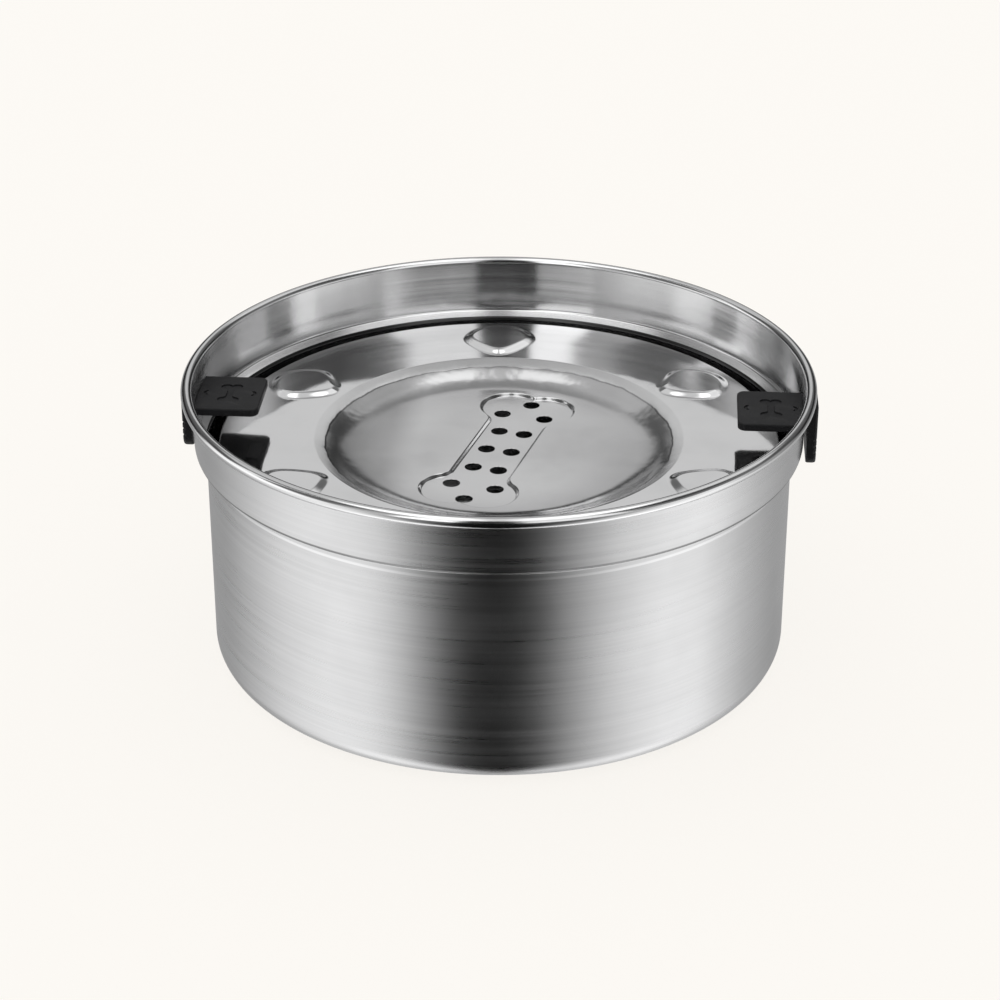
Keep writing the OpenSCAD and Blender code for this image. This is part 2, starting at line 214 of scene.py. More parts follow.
handling_group, h_in, h_out = new_group(
    "handling", [("Size", 28.0)],
    [("Film", "NodeSocketFloat"), ("Hairlines", "NodeSocketFloat")])
t = handling_group
place = add(t, "ShaderNodeTexCoord").outputs["Object"]
film = noise(t, place, h_in["Size"], 3.0, 0.55)
t.links.new(remap(t, film, 0.42, 0.68, 0.0, 1.0, True), h_out["Film"])
warp = add(t, "ShaderNodeTexNoise", None, Vector=place, Scale=14.0, Detail=1.0)
bent = add(t, "ShaderNodeMix", {"data_type": "VECTOR"}, s0=0.06, s4=place,
           s5=warp.outputs["Color"]).outputs[1]
lines = add(t, "ShaderNodeTexVoronoi", {"feature": "DISTANCE_TO_EDGE"}, Vector=bent,
            Scale=34.0).outputs["Distance"]
thin = remap(t, lines, 0.0, 0.008, 1.0, 0.0)
broken = remap(t, noise(t, place, 55.0, 1.0), 0.5, 0.62, 0.0, 1.0)
t.links.new(math_node(t, "MULTIPLY", thin, broken), h_out["Hairlines"])

dust_group, d_in, d_out = new_group(
    "settled_dust", [("Size", 60.0), ("Amount", 0.3)], [("Dust", "NodeSocketFloat")])
t = dust_group
facing = add(t, "ShaderNodeNewGeometry").outputs["Normal"]
upward = remap(t, add(t, "ShaderNodeSeparateXYZ", None, Vector=facing).outputs[2],
               0.35, 0.95, 0.0, 1.0)
place = add(t, "ShaderNodeTexCoord").outputs["Object"]
patches = remap(t, noise(t, place, d_in["Size"], 4.0, 0.65), 0.45, 0.75, 0.15, 1.0)
amount = math_node(t, "MULTIPLY", math_node(t, "MULTIPLY", upward, patches), d_in["Amount"])
t.links.new(amount, d_out["Dust"])
print("node groups:", [g.name for g in bpy.data.node_groups])

# %% [markdown]
# ## Brushed steel of the bowl
# Stainless sheet, brushed on the lathe after drawing. The scratches run round the bowl,
# so they smear reflections up and down: the shader is stretched at a right angle to
# them. The streaks change the polish slightly from ring to ring. The inside is finer
# than the outside, and the bead is buffed after it is rolled. Under the collar's step
# a thin dark line is painted into the colour as painted shade, with a painted highlight
# just below it. Inside, the step is painted nearly black, as painted shade and a painted
# reflection of the black float beside it.

# %% Brushed steel
# Heights of a painted shade line under the collar's foot and of a painted highlight below it.
PAINTED_SHADE_Z, PAINTED_GLINT_Z = 0.0892, 0.0844


def brushed_steel(name, tone, rough, stretch, streak_depth, bump, smear, painted_shade_depth=0.0):
    """smear is the roughness that handling adds; the last value paints a dark line under the collar's
    foot as painted shade, with a painted highlight below it.
    """
    material, tree, shader = new_material(name)
    grain = use_group(tree, grain_group, Across=720.0, Along=5.0)
    hand = use_group(tree, handling_group, Size=24.0)
    streak = remap(tree, grain["Streak"], 0.25, 0.75, -1.0, 1.0)
    shade = math_node(tree, "MULTIPLY_ADD", streak, streak_depth, tone)
    # Painted shade and painted highlight: a dark line under the collar's foot and a light line below it,
    # drawn in the colour by height.
    if painted_shade_depth:
        rise = object_place(tree)[1][2]
        off = math_node(tree, "ABSOLUTE", math_node(tree, "SUBTRACT", rise, PAINTED_SHADE_Z))
        shade = math_node(tree, "SUBTRACT", shade, remap(tree, off, 0.0006, 0.0010, painted_shade_depth, 0.0))
        below = math_node(tree, "ABSOLUTE", math_node(tree, "SUBTRACT", rise, PAINTED_GLINT_Z))
        shade = math_node(tree, "ADD", shade, remap(tree, below, 0.0003, 0.0007, 0.18, 0.0))
    shade = math_node(tree, "MULTIPLY_ADD", hand["Film"], -0.02, shade)
    tree.links.new(steel_colour(tree, shade, 1.004), shader.inputs["Base Color"])
    polish = math_node(tree, "MULTIPLY_ADD", streak, 0.04, rough)
    worn = math_node(tree, "MULTIPLY_ADD", hand["Film"], smear, polish)
    tree.links.new(worn, shader.inputs["Roughness"])
    shader.inputs["Metallic"].default_value = 1.0
    shader.inputs["Anisotropic"].default_value = stretch
    shader.inputs["Anisotropic Rotation"].default_value = 0.25
    tangent = add(tree, "ShaderNodeTangent", {"direction_type": "RADIAL", "axis": "Z"})
    tree.links.new(tangent.outputs[0], shader.inputs["Tangent"])
    relief = add(tree, "ShaderNodeBump", None, Strength=bump, Distance=0.00004,
                 Height=math_node(tree, "SUBTRACT", grain["Fine"], hand["Hairlines"]))
    tree.links.new(relief.outputs[0], shader.inputs["Normal"])
    return material


steel_outside = brushed_steel("steel_brushed_outside", 0.70, 0.29, 0.80, 0.05, 0.18, 0.04, 0.42)
steel_inside = brushed_steel("steel_satin_inside", 0.76, 0.14, 1.0, 0.03, 0.008, 0.02)
steel_bead = brushed_steel("steel_buffed_bead", 0.74, 0.14, 0.30, 0.012, 0.06, 0.03)
# The step's finish is painted nearly black: painted shade and a painted reflection of the black float
# beside it.
painted_dark_step = brushed_steel("steel_painted_shade_step", 0.06, 0.20, 0.30, 0.01, 0.05, 0.03)
print("steel materials ready")

# %% [markdown]
# ## Polished steel of the plate
# The plate is thinner sheet with a mirror polish. Thin sheet is never flat after
# pressing, so broad, shallow waves bend what it mirrors, more so on the dish's side.
# A ragged dark line is painted near the top of the dish's side, as painted shade for the
# edge of water in the dish. Inside the line the sheet is duller, and its colour is darker:
# a random film, plus painted shade that grows outward and to the left. The lip above the
# line is a little matt, where the press bent the sheet.

# %% Polished steel
PAINTED_WATER_EDGE = 0.0675
material, tree, shader = new_material("steel_mirror_plate")
hand = use_group(tree, handling_group, Size=34.0)
grain = use_group(tree, grain_group, Across=420.0, Along=5.0)
place, xyz = object_place(tree)
radius = from_axis(tree, xyz)
near_side = remap(tree, radius, 0.052, 0.060, 0.0, 1.0, True)
past_side = remap(tree, radius, 0.066, 0.071, 1.0, 0.0, True)
on_side = math_node(tree, "MULTIPLY", near_side, past_side)

# The ragged line is painted: a dark line of painted shade where the edge of water in the dish would
# show.
ragged = math_node(tree, "MULTIPLY_ADD", noise(tree, place, 95.0, 3.0, 0.6), 0.0022, radius)
past_line = remap(tree, ragged, PAINTED_WATER_EDGE - 0.0002, PAINTED_WATER_EDGE + 0.0002, 0.0, 1.0)
off_line = math_node(tree, "ABSOLUTE", math_node(tree, "SUBTRACT", ragged, PAINTED_WATER_EDGE))
painted_edge_line = remap(tree, off_line, 0.0002, 0.0005, 0.3, 0.0)
# Inside the line the colour is darker: random tone, plus painted shade that grows outward and to the
# left and stands for darker reflections there.
film = remap(tree, noise(tree, place, 13.0, 2.0, 0.45), 0.38, 0.62, 0.0, 0.12, True)
film = math_node(tree, "ADD", film, remap(tree, radius, 0.034, 0.064, 0.0, 0.2, True))
film = math_node(tree, "ADD", film, remap(tree, xyz[0], -0.030, -0.044, 0.0, 0.2, True))
film = math_node(tree, "MULTIPLY", math_node(tree, "SUBTRACT", 1.0, past_line), film)

# Inside the line the whole colour is a little darker, as painted shade.
tone_past_line = remap(tree, past_line, 0.0, 1.0, 0.76, 0.82)
shaded_tone = math_node(tree, "SUBTRACT", math_node(tree, "SUBTRACT", tone_past_line, film), painted_edge_line)
tone = math_node(tree, "MULTIPLY_ADD", hand["Film"], -0.03, shaded_tone)
tree.links.new(steel_colour(tree, tone, 1.005), shader.inputs["Base Color"])
in_dish = remap(tree, radius, 0.0700, 0.0712, 1.0, 0.0, True)
on_lip = math_node(tree, "MULTIPLY", in_dish, past_line)
dull = math_node(tree, "MULTIPLY_ADD", on_lip, 0.16, remap(tree, past_line, 0.0, 1.0, 0.14, 0.055))
polish = math_node(tree, "MULTIPLY_ADD", hand["Film"], 0.05, dull)
tree.links.new(polish, shader.inputs["Roughness"])
shader.inputs["Metallic"].default_value = 1.0

ripple = math_node(tree, "MULTIPLY", noise(tree, place, 110.0, 2.0, 0.5), on_side)
swell = math_node(tree, "MULTIPLY_ADD", ripple, 0.55, noise(tree, place, 36.0, 1.5, 0.4))
swell = math_node(tree, "MULTIPLY_ADD", past_line, 0.12, swell)
wave = add(tree, "ShaderNodeBump", None, Strength=0.35, Distance=0.0011, Height=swell)
marks = add(tree, "ShaderNodeBump", None, Strength=0.08, Distance=0.00003,
            Height=math_node(tree, "SUBTRACT", grain["Fine"], hand["Hairlines"]),
            Normal=wave.outputs[0])
tree.links.new(marks.outputs[0], shader.inputs["Normal"])
steel_plate = material
print("plate material ready")

# %% [markdown]
# ## Moulded plastic and rubber
# The clips are injection moulded in black, with the fine spark-eroded texture of the
# mould. Edges rub a little lighter, and dust shows grey on the flats. The float is the
# same kind of plastic with a smoother skin, and the foot ring is matte rubber.

# %% Moulded plastic and rubber
def moulded(name, colour, dusty, rough, texture, pits, dust_amount, gloss=0.4):
    """texture is the scale of the mould's skin, pits its depth, gloss the specular level."""
    material, tree, shader = new_material(name)
    dust = use_group(tree, dust_group, Size=texture * 0.12, Amount=dust_amount)
    hand = use_group(tree, handling_group, Size=60.0)
    place = add(tree, "ShaderNodeTexCoord").outputs["Object"]
    skin = noise(tree, place, texture, 3.0, 0.6)
    edges = remap(tree, add(tree, "ShaderNodeNewGeometry").outputs["Pointiness"],
                  0.50, 0.58, 0.0, 1.0)
    rubbed = blend_colours(tree, math_node(tree, "MULTIPLY", edges, 0.5), colour,
                           tuple(c + 0.02 for c in colour[:3]) + (1.0,))
    dusted = blend_colours(tree, dust["Dust"], rubbed, dusty)
    tree.links.new(dusted, shader.inputs["Base Color"])
    shader.inputs["Specular IOR Level"].default_value = gloss
    polish = math_node(tree, "MULTIPLY_ADD", skin, 0.18, rough - 0.09)
    worn = math_node(tree, "MULTIPLY_ADD", hand["Film"], -0.06, polish)
    tree.links.new(worn, shader.inputs["Roughness"])
    relief = add(tree, "ShaderNodeBump", None, Strength=pits, Distance=0.00008, Height=skin)
    tree.links.new(relief.outputs[0], shader.inputs["Normal"])
    return material


clip_black = moulded("plastic_black_clip", (0.012, 0.012, 0.013, 1.0),
                     (0.14, 0.135, 0.13, 1.0), 0.42, 1900.0, 0.5, 0.04, 0.14)
float_black = moulded("plastic_black_float", (0.020, 0.020, 0.022, 1.0),
                      (0.14, 0.14, 0.14, 1.0), 0.50, 1200.0, 0.3, 0.06)
foot_rubber = moulded("rubber_black_foot", (0.028, 0.028, 0.030, 1.0),
                      (0.20, 0.19, 0.18, 1.0), 0.78, 900.0, 0.7, 0.22)
print("plastic and rubber ready")

# %% [markdown]
# ## Mesh helpers
# A pressed sheet is drawn as the path of one of its faces, with a bend at each corner.
# Every point of the path knows which way the face looks, so the finished mesh carries
# exact normals and a mirror finish stays clean over flats and bends. A lathe turns the
# path round the axis.

# %% Sheet path and lathe
MM = 0.001


def unit(v):
    return v / np.linalg.norm(v)


def left_of(v):
    return np.array([-v[1], v[0]])


def turned(p, angle):
    """Places or directions in two or three coordinates, turned round the upright axis."""
    c, s = math.cos(angle), math.sin(angle)
    out = np.array(p, float)
    out[..., 0] = p[..., 0] * c - p[..., 1] * s
    out[..., 1] = p[..., 0] * s + p[..., 1] * c
    return out


def sheet_path(corners, step=0.35):
    """Points (radius, height) of a sheet's face in mm, and the direction to its left at each."""
    p = [np.array(c[:2], float) for c in corners]
    points = [p[0]]
    lefts = [left_of(unit(p[1] - p[0]))]
    for a, b, c, r in zip(p, p[1:], p[2:], [c[2] for c in corners[1:]]):
        u, v = unit(b - a), unit(c - b)
        side = math.copysign(1.0, u[0] * v[1] - u[1] * v[0])
        swing = math.acos(float(np.clip(u @ v, -1, 1)))
        centre = b - u * r * math.tan(swing / 2) + left_of(u) * side * r
        steps = max(5, int(r * swing / step))
        for i in range(steps + 1):
            arm = turned(left_of(u) * side, side * swing * i / steps)
            points.append(centre - arm * r)
            lefts.append(arm * side)
    points.append(p[-1])
    lefts.append(left_of(unit(p[-1] - p[-2])))
    return np.array(points), np.array(lefts)


def lathe(points, normals, angles):
    """Grids of places in metres and of normals, turned round the axis."""
    c, s = np.cos(angles), np.sin(angles)
    r, z = points[:, :1], points[:, 1:]
    nr, nz = normals[:, :1], normals[:, 1:]
    flat = np.ones_like(c)
    return (np.stack([r * c, r * s, z * flat], -1) * MM,
            np.stack([nr * c, nr * s, nz * flat], -1))


print("path and lathe ready")

# %% [markdown]
# ### Skin
# A skin collects faces with a normal at each corner, turns round those that were wound
# the wrong way, and welds the corners that meet. A subdivided or auto-smoothed mesh would
# guess its normals, and a mirror shows every wrong guess.

# %% Skin
class Skin:
    """Faces with a normal at every corner; build() welds the corners that meet."""

    def __init__(self):
        self.parts = []

    def faces(self, places, normals, material=0):
        """places and normals are arrays of faces, corners, and three coordinates."""
        if len(places):
            self.parts.append((np.asarray(places, float), np.asarray(normals, float), material))

    def grid(self, places, normals, closed=False, keep=None, material=0):
        """Quads of a grid of rows and columns; closed joins the last column to the first."""
        if closed:
            places = np.concatenate([places, places[:, :1]], 1)
            normals = np.concatenate([normals, normals[:, :1]], 1)
        pick = lambda g: np.stack([g[:-1, :-1], g[:-1, 1:], g[1:, 1:], g[1:, :-1]], 2)
        quads, corner_normals = pick(places), pick(normals)
        use = np.ones(quads.shape[:2], bool) if keep is None else keep
        self.faces(quads[use], corner_normals[use], material)

    def build(self, name, materials):
        corners, all_normals, sizes, slots = [], [], [], []
        for places, normals, material in self.parts:
            area = np.cross(places[:, 1] - places[:, 0], places[:, -1] - places[:, 0])
            if places.shape[1] == 4:
                area = np.cross(places[:, 2] - places[:, 0], places[:, 3] - places[:, 1])
            wrong = np.einsum("ij,ij->i", area, normals.mean(1)) < 0
            places, normals = places.copy(), normals.copy()
            places[wrong] = places[wrong][:, ::-1]
            normals[wrong] = normals[wrong][:, ::-1]
            corners.append(places.reshape(-1, 3))
            all_normals.append(normals.reshape(-1, 3))
            sizes += [places.shape[1]] * len(places)
            slots += [material] * len(places)
        corners, all_normals = np.concatenate(corners), np.concatenate(all_normals)
        key = np.round(corners * 2e6).astype(np.int64)
        _, first, inverse = np.unique(key, axis=0, return_index=True, return_inverse=True)
        inverse = inverse.reshape(-1)
        faces, slot_list, loop_normals, at = [], [], [], 0
        for size, slot in zip(sizes, slots):
            ring = inverse[at:at + size].tolist()
            order = [i for i in range(size) if ring[i] != ring[i - 1]]
            if len(order) > 2:
                faces.append([ring[i] for i in order])
                slot_list.append(slot)
                loop_normals += [at + i for i in order]
            at += size
        mesh = bpy.data.meshes.new(name)
        mesh.from_pydata(corners[first], [], faces)
        for material in materials:
            mesh.materials.append(material)
        mesh.polygons.foreach_set("material_index", slot_list)
        mesh.shade_smooth()
        mesh.normals_split_custom_set(all_normals[loop_normals])
        obj = bpy.data.objects.new(name, mesh)
        bpy.context.scene.collection.objects.link(obj)
        return obj


print("skin ready")

# %% [markdown]
# ### Flat faces and bands
# A flat face with holes is cut into triangles that end exactly on its outlines. A band
# joins outlines of equal length at several heights, which makes walls and rounded edges.

# %% Flat faces and bands
def inside(points, loop):
    """For each point, whether it is inside the closed loop."""
    x, y = points[:, 0], points[:, 1]
    found = np.zeros(len(points), bool)
    for a, b in zip(loop, np.roll(loop, -1, 0)):
        crosses = (a[1] > y) != (b[1] > y)
        if crosses.any():
            reach = (b[0] - a[0]) * (y - a[1]) / (b[1] - a[1] + 1e-30) + a[0]
            found ^= crosses & (x < reach)
    return found


def fill(outer, holes):
    """Triangles of the flat region inside outer and outside the holes, in two coordinates."""
    loops = [np.asarray(outer, float)] + [np.asarray(h, float) for h in holes]
    points, edges = [], []
    for loop in loops:
        start = len(points)
        points += [Vector(p) for p in loop]
        edges += [(start + i, start + (i + 1) % len(loop)) for i in range(len(loop))]
    made, _, tris, _, _, _ = delaunay_2d_cdt(points, edges, [], 0, 1e-7)
    made = np.array([tuple(p) for p in made])
    tris = np.array(tris)
    middle = made[tris].mean(1)
    keep = inside(middle, loops[0])
    for hole in loops[1:]:
        keep &= ~inside(middle, hole)
    return made[tris[keep]]


def flat(skin, outer, holes, height, up, place=lambda p: p, material=0):
    """A flat face at a height in mm, looking up (1) or down (-1), put where place says."""
    tris = fill(outer, holes)
    spots = np.concatenate([tris, np.full(tris.shape[:2] + (1,), float(height))], 2)
    look = np.zeros_like(spots)
    look[..., 2] = up
    skin.faces(place(spots) * MM, place(look), material)


def loop_normals_2d(loop):
    """Outward directions in the plane at each point of a loop that runs anticlockwise."""
    step = np.roll(loop, -1, 0) - np.roll(loop, 1, 0)
    out = np.stack([step[:, 1], -step[:, 0]], 1)
    return out / np.linalg.norm(out, axis=1, keepdims=True)


def contour_band(skin, loops, heights, outs, ups, place=lambda p: p, material=0):
    """Quads through loops of equal length at the heights; outs and ups mix their normals."""
    places, normals = [], []
    for loop, height, out, up in zip(loops, heights, outs, ups):
        side = loop_normals_2d(loop) * out
        places.append(np.concatenate([loop, np.full((len(loop), 1), float(height))], 1))
        normals.append(np.concatenate([side, np.full((len(loop), 1), float(up))], 1))
    places, normals = np.array(places), np.array(normals)
    skin.grid(place(places) * MM, place(normals), closed=True, material=material)


def arc(centre, r, start, end, steps):
    a = np.radians(np.linspace(start, end, steps + 1))
    return np.stack([centre[0] + r * np.cos(a), centre[1] + r * np.sin(a)], 1)


print("faces and bands ready")

# %% [markdown]
# ## Bowl
# One deep-drawn pressing: flat base with a groove for the foot ring, straight body, a
# small shoulder, a collar that flares slightly, and a bead rolled outward at the rim.
# The bead stays open underneath, as a rolled edge does, so a dark line shows below it.
# The slots for the clips are punched through the collar. One path holds all the bends,
# so a size is changed in one place.

# %% Bowl path and slots
SHEET = 0.6
BEAD_R = 2.15
BEAD = np.array([117.75, 110.0])
COLLAR_FOOT, COLLAR_TOP, BODY = 115.7, 116.2, 111.4
SLOT_HALF, SLOT_LOW, SLOT_HIGH = 15.4, 97.7, 101.3
# Heights of the inner step: its lower part is painted nearly black as painted shade, and its upper part
# is buffed.
STEP_LOW, STEP_DARK_TOP, STEP_TOP = 83.0, 87.6, 90.2
LEAN_FROM, LEAN_TO, LEAN = 92.0, 97.0, 0.24
bowl_corners = [(0, 0.8, 0), (83.5, 0.8, 0.9), (84.1, 2.8, 0.9), (95.7, 2.8, 0.9), (96.3, 0.8, 0.9),
                (BODY, 0.8, 8.0), (BODY, 87.0, 1.2), (COLLAR_FOOT, 89.0, 1.8),
                (COLLAR_TOP, BEAD[1], 0)]
path, lefts = sheet_path(bowl_corners)


def with_height(path, lefts, height):
    """Adds a point on the collar at a height, for the edge of a slot."""
    i = max(k for k in range(len(path) - 1) if path[k][1] < height <= path[k + 1][1])
    share = (height - path[i][1]) / (path[i + 1][1] - path[i][1])
    return (np.insert(path, i + 1, path[i] + share * (path[i + 1] - path[i]), 0),
            np.insert(lefts, i + 1, lefts[i], 0))


for level in (SLOT_LOW, SLOT_HIGH):
    path, lefts = with_height(path, lefts, level)
roll = np.radians(np.linspace(180, -120, 37))[1:]
roll_out = np.stack([np.cos(roll), np.sin(roll)], 1)
collar_points = len(path)
path = np.concatenate([path, BEAD + roll_out * (BEAD_R - SHEET)])
lefts = np.concatenate([lefts, roll_out])

slot_edge = math.degrees(math.asin(SLOT_HALF / 115.9))
angles = np.radians(sorted(list(np.arange(0, 360, 1.0)) + [slot_edge, 180 - slot_edge,
                                                           180 + slot_edge, 360 - slot_edge]))
middles = np.degrees((angles + np.roll(angles, -1)) / 2 % (2 * math.pi))
middles[-1] = (np.degrees(angles[-1]) + 360) / 2
at_slot = (np.minimum(middles, 360 - middles) < slot_edge) | (np.abs(middles - 180) < slot_edge)
row_z = (path[:-1, 1] + path[1:, 1]) / 2
in_slot_rows = (row_z > SLOT_LOW) & (row_z < SLOT_HIGH) & (np.arange(len(row_z)) < collar_points)
keep = ~(in_slot_rows[:, None] & at_slot[None, :])
row_kind = np.arange(len(row_z)) >= collar_points - 1
print("bowl path:", len(path), "points,", int(at_slot.sum()), "columns cross a slot")

# %% [markdown]
# ### Both faces of the bowl
# The path is turned twice, once for each face of the sheet, and each row of faces gets
# its finish. The shading of the collar's inside leans a little upward, as if the sheet
# curved out toward the bead, so that it mirrors what stands at eye level. The inner step
# is painted nearly black below, as painted shade and a painted reflection of the black
# float, and is buffed above.

# %% Bowl mesh
# Finish slots; the last one is the inner step, painted nearly black as painted shade.
OUTSIDE, INSIDE, BUFFED, PAINTED_DARK = range(4)
bowl = Skin()
dry, dry_n = lathe(path, -lefts, angles)
in_look = lefts.copy()
in_look[:collar_points, 1] += LEAN * np.clip(
    (path[:collar_points, 1] - LEAN_FROM) / (LEAN_TO - LEAN_FROM), 0.0, 1.0)
in_look /= np.linalg.norm(in_look, axis=1, keepdims=True)
wet, wet_n = lathe(path + lefts * SHEET, in_look, angles)
outer_rows = np.where(row_kind, BUFFED, OUTSIDE)
inner_rows = np.where(row_kind, BUFFED, INSIDE)
inner_rows[(row_z > STEP_DARK_TOP) & (row_z < STEP_TOP)] = BUFFED
# The lower rows of the inner step take the nearly black finish: painted shade and a painted reflection
# of the float.
inner_rows[(row_z > STEP_LOW) & (row_z < STEP_DARK_TOP)] = PAINTED_DARK
for places, normals, rows in ((dry, dry_n, outer_rows), (wet, wet_n, inner_rows)):
    for kind in np.unique(rows):
        bowl.grid(places, normals, True, keep & (rows == kind)[:, None], int(kind))
end_n = np.repeat(lathe(path[-1:], np.array([left_of(roll_out[-1]) * -1.0]), angles)[1], 2, 0)
bowl.grid(np.stack([dry[-1], wet[-1]]), end_n, True, None, BUFFED)
slot_rows = sorted(np.argmin(np.abs(path[:collar_points, 1] - level)) for level in (SLOT_LOW, SLOT_HIGH))
for row, up in zip(slot_rows, (1.0, -1.0)):
    normals = np.zeros((2, len(angles), 3))
    normals[..., 2] = up
    bowl.grid(np.stack([dry[row], wet[row]]), normals, True, at_slot[None, :])
for degrees in (slot_edge, 180 - slot_edge, 180 + slot_edge, 360 - slot_edge):
    i = int(np.argmin(np.abs(np.degrees(angles) - degrees)))
    rows = slice(slot_rows[0], slot_rows[1] + 1)
    wall = np.stack([dry[rows, i], wet[rows, i]], 1)
    normals = np.zeros_like(wall)
    normals[..., 1] = -math.copysign(1.0, wall[0, 0, 1])
    bowl.grid(wall, normals)
bowl_shell = bowl.build("bowl_shell", [steel_outside, steel_inside, steel_bead, painted_dark_step])
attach(bowl_shell, "bowl")
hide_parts("bowl")
print("bowl faces:", len(bowl_shell.data.polygons), "bead reaches radius", BEAD[0] + BEAD_R)

# %% [markdown]
# ## Foot ring
# A moulded rubber ring pushed into the groove of the base. It stands out a little below
# the steel, so the bowl doesn't slide or ring on a hard floor, and has a shallow tread.

# %% Foot ring
ring_low, ring_high, bevel = (84.4, 0.0), (95.4, 2.8), 0.8
profile = [(ring_low[0] + bevel, 0.0)]
for middle in (87.15, 89.9, 92.65):
    profile += [(middle - 0.55, 0.0), (middle - 0.42, 0.34), (middle, 0.4),
                (middle + 0.42, 0.34), (middle + 0.55, 0.0)]
profile += [(ring_high[0] - bevel, 0.0), (ring_high[0] - 0.2, 0.25), (ring_high[0], bevel),
            (ring_high[0], 2.0), (ring_high[0] - 0.25, 2.55), (ring_high[0] - bevel, 2.8),
            (ring_low[0] + bevel, 2.8), (ring_low[0] + 0.25, 2.55), (ring_low[0], 2.0),
            (ring_low[0], bevel), (ring_low[0] + 0.2, 0.25)]
profile = np.array(profile + profile[:1])
steps = np.diff(profile, axis=0)
face_n = np.stack([steps[:, 1], -steps[:, 0]], 1)
face_n /= np.linalg.norm(face_n, axis=1, keepdims=True)
ring = Skin()
round_angles = np.radians(np.arange(0, 360, 2.0))
for i in range(len(steps)):
    places, normals = lathe(profile[i:i + 2], np.array([face_n[i], face_n[i]]), round_angles)
    ring.grid(places, normals, True)
foot_ring = ring.build("foot_ring", [foot_rubber])
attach(foot_ring, "bowl")
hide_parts("base_ring")
print("foot ring faces:", len(foot_ring.data.polygons))

# %% [markdown]
# ## Floating plate
# One pressing of thin, mirror-polished sheet. From the middle outward it has a bone
# shaped recess with twelve water holes, a shallow dish, a flange with six petal-shaped
# bosses, and an edge that is folded down and in, to hold the float. The bosses are where
# three cones overlap, with the soft feet and tops that a press leaves. They stiffen the
# thin flange and hold the float's knobs. Their heights are a formula over the flange, so
# the sheet stays one grid, and its normals come from the slope of that formula.

# %% Boss shape
PLATE_SHEET, PLATE_TOP, PLATE_R = 0.5, 87.1, 106.9
DISH_R, DISH_RUN, DISH_Z = 70.7, 13.1, 81.0
BONE_DEPTH = 1.2
PLATE_TURN, BONE_TURN = 3.8, 72.4
BOSS_H, BOSS_RUN, BOSS_FOOT = 1.4, 2.6, 2.2
BOSS_TIP, BOSS_LONG, BOSS_SIDE_R, BOSS_END_R = 73.4, 28.0, 40.0, 13.2
BOSS_HALF_ANGLE = math.radians(56.5)
FLANGE_IN, FLANGE_OUT = 71.7, 104.7
BOSS_CIRCLES = ((BOSS_TIP + BOSS_SIDE_R * math.sin(BOSS_HALF_ANGLE),
                 -BOSS_SIDE_R * math.cos(BOSS_HALF_ANGLE), BOSS_SIDE_R),
                (BOSS_TIP + BOSS_LONG - BOSS_END_R, 0.0, BOSS_END_R))


def soft_max(a, b, k):
    blend = np.maximum(k - np.abs(a - b), 0.0) / k
    return np.maximum(a, b) + blend * blend * k / 4


def boss_height(x, y):
    """Height of the bosses above the flange at places in mm, in the plate's own turn."""
    angle = np.arctan2(y, x)
    sector = math.pi / 3
    nearest = (np.round((angle - math.pi / 2) / sector)) * sector + math.pi / 2
    along = x * np.cos(nearest) + y * np.sin(nearest)
    across = -x * np.sin(nearest) + y * np.cos(nearest)
    slope = BOSS_RUN / BOSS_H
    (side_x, side_y, side_r), (end_x, end_y, end_r) = BOSS_CIRCLES
    side = (side_r - np.hypot(along - side_x, np.abs(across) - side_y)) / slope
    end = (end_r - np.hypot(along - end_x, across - end_y)) / slope
    both = -soft_max(-side, -end, 0.8)
    share = np.clip((both * slope + BOSS_FOOT) / (BOSS_RUN + BOSS_FOOT), 0.0, 1.0)
    return BOSS_H * share * share * (3 - 2 * share)


def plate_place(p):
    return turned(p, math.radians(PLATE_TURN))


print("a boss is", round(float(boss_height(np.array([0.0]), np.array([90.0]))[0]), 2), "mm high")

# %% [markdown]
# ### Sheet of the plate
# The flange needs close rows, because the bosses are only as smooth as the grid. On the
# ring between the dish's side and the flange the shading is held to a lean of about ten
# degrees, since the real bend is flatter there than two straight runs would make it.

# %% Sheet of the plate
COLUMNS = 900
FLOOR_R = 51.5
RING_FROM, RING_TO, RING_FADE, RING_LEAN = 66.3, 71.4, 0.5, 0.17
plate_corners = [(0, DISH_Z, 0), (DISH_R - DISH_RUN, DISH_Z, 24.0), (DISH_R, PLATE_TOP, 2.0),
                 (PLATE_R, PLATE_TOP, 1.0), (PLATE_R, PLATE_TOP - 2.3, 1.0),
                 (PLATE_R - 3.0, PLATE_TOP - 2.3, 0)]
path, lefts = sheet_path(plate_corners, 0.3)
path[0] = (FLOOR_R, DISH_Z)
flange_start = max(i for i in range(len(path)) if path[i][0] < 71.9 and path[i][1] > 87.0)
extra = np.arange(72.0, 104.6, 0.4)
path = np.concatenate([path[:flange_start + 1], np.stack([extra, np.full_like(extra, PLATE_TOP)], 1),
                       path[flange_start + 1:]])
lefts = np.concatenate([lefts[:flange_start + 1], np.tile([0.0, 1.0], (len(extra), 1)),
                        lefts[flange_start + 1:]])
angles = np.radians(np.arange(COLUMNS) * 360.0 / COLUMNS)
places, normals = lathe(path, lefts, angles)
x, y = places[..., 0] / MM, places[..., 1] / MM
on_flange = ((path[:, 0] > FLANGE_IN) & (path[:, 0] < FLANGE_OUT))[:, None]
pressed = boss_height(x, y) * on_flange
d = 0.02
slope_x = (boss_height(x + d, y) - boss_height(x - d, y)) / (2 * d)
slope_y = (boss_height(x, y + d) - boss_height(x, y - d)) / (2 * d)
tilt = np.stack([-slope_x, -slope_y, np.ones_like(slope_x)], -1)
tilt /= np.linalg.norm(tilt, axis=-1, keepdims=True)
places[..., 2] += pressed * MM
normals = np.where((on_flange & (pressed > 1e-6))[..., None], tilt, normals)
sheet_n = normals.copy()
